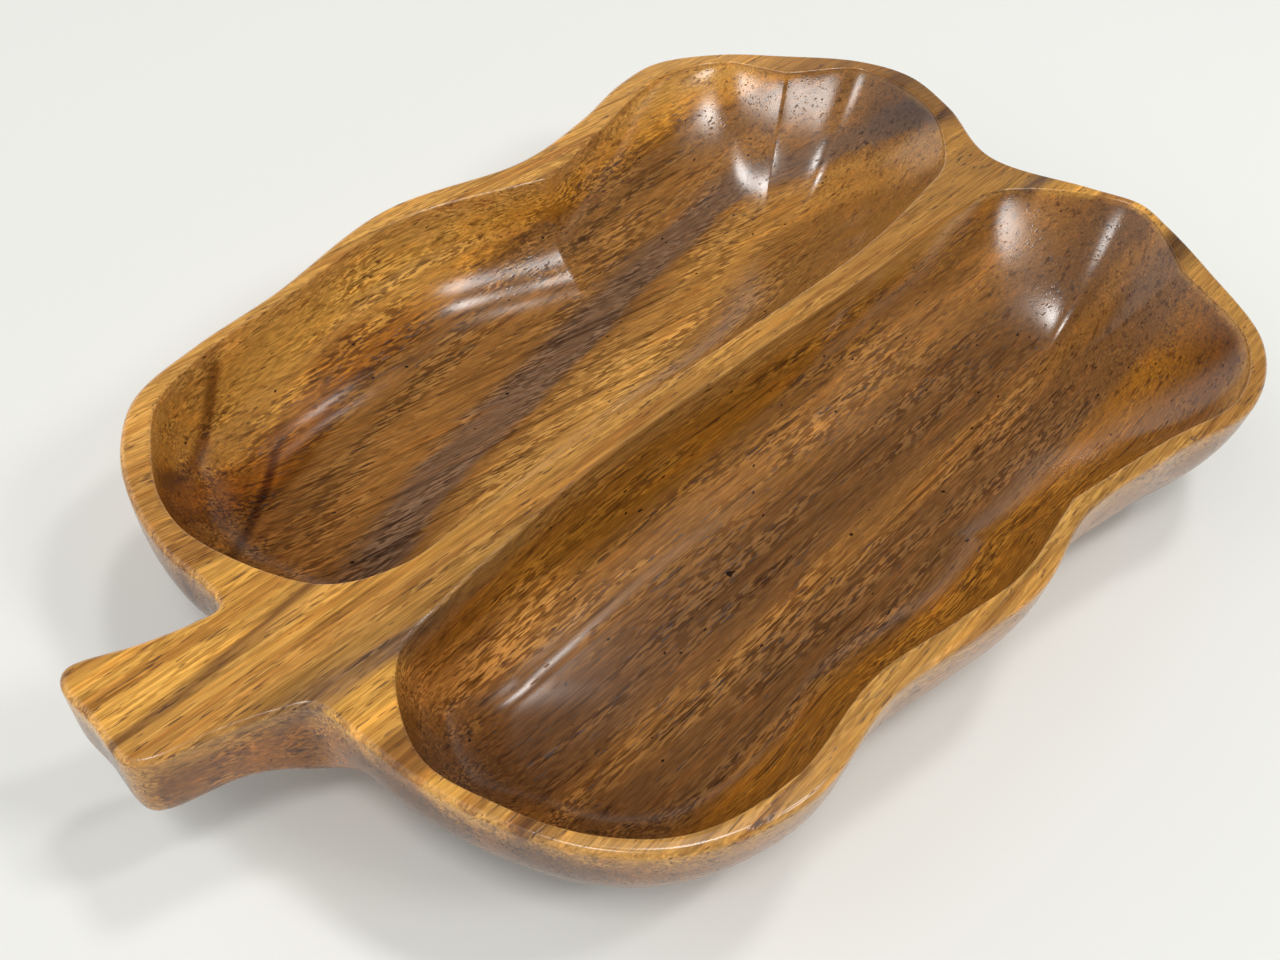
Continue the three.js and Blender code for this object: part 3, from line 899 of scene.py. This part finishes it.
def pale_floor():
    """Plain pale table top, under the foot."""
    mesh = bpy.data.meshes.new("floor")
    half = FLOOR_SIZE / 2
    corners = [(-half, -half, 0), (half, -half, 0), (half, half, 0), (-half, half, 0)]
    mesh.from_pydata(corners, [], [(0, 1, 2, 3)])
    fig = Figure(bpy.data.materials.new("pale_table"))
    shader = fig.tree.nodes.new("ShaderNodeBsdfPrincipled")
    shader.inputs["Base Color"].default_value = (*TABLE, 1)
    shader.inputs["Roughness"].default_value = TABLE_ROUGHNESS
    shader.inputs["Specular IOR Level"].default_value = TABLE_GLOSS
    fig.end("ShaderNodeOutputMaterial", shader.outputs[0])
    mesh.materials.append(fig.owner)
    floor = bpy.data.objects.new("floor", mesh)
    bpy.context.scene.collection.objects.link(floor)


def room():
    """Soft light from all round, pale at the near left and shaded at the far right, with two exceptions. The
    horizon is as pale as the table all round. A part of the room high up beyond the bowl is dim, which the
    floors mirror: its share rises with the cosine to that direction, and only well above the horizon."""
    world = bpy.data.worlds.new("room")
    bpy.context.scene.world = world
    fig = Figure(world)
    towards = fig.node("ShaderNodeTexCoord")
    cosine = fig.node("ShaderNodeVectorMath", towards, DIM_TOWARDS, operation="DOT_PRODUCT", output="Value")
    high = fig.node("ShaderNodeSeparateXYZ", towards, output="Z")
    dim = fig.times(fig.step(cosine, *DIM_SPREAD), fig.step(high, *DIM_ABOVE))
    pale = fig.node("ShaderNodeVectorMath", towards, PALE_TOWARDS, operation="DOT_PRODUCT", output="Value")
    around = fig.mix(fig.step(pale, *PALE_SPREAD), (*ROOM_SHADE, 1), (*ROOM_PALE, 1))
    low = fig.step(high, *HORIZON_BELOW)
    colour = fig.mix(low, fig.mix(dim, around, (*ROOM_DIM, 1)), (*HORIZON, 1))
    light = fig.node("ShaderNodeBackground", colour)
    fig.end("ShaderNodeOutputWorld", light)


def lamp(name, place, width, height, watts):
    """Soft rectangular lamp that faces the bowl."""
    light = bpy.data.lights.new(name, "AREA")
    light.shape = "RECTANGLE"
    light.size = width
    light.size_y = height
    light.energy = watts
    light.color = LAMP_COLOUR
    made = bpy.data.objects.new(name, light)
    made.location = place
    made.rotation_euler = (Vector(LAMPS_FACE) - Vector(place)).to_track_quat("-Z", "Y").to_euler()
    bpy.context.scene.collection.objects.link(made)


def camera():
    """Camera at the photograph's viewing angle, from its place and the directions right, up and ahead."""
    lens = bpy.data.cameras.new("camera")
    lens.sensor_fit = "HORIZONTAL"
    lens.sensor_width = CAMERA_SENSOR
    lens.lens = CAMERA_LENS
    lens.clip_start = CAMERA_NEAREST
    made = bpy.data.objects.new("camera", lens)
    axes = Matrix((CAMERA_RIGHT, CAMERA_UP, [-part for part in CAMERA_AHEAD])).transposed()
    made.matrix_world = Matrix.Translation(CAMERA_AT) @ axes.to_4x4()
    bpy.context.scene.collection.objects.link(made)
    bpy.context.scene.camera = made


pale_floor()
room()
for setting in LAMPS:
    lamp(*setting)
camera()
bpy.context.scene.view_settings.view_transform = "Standard"
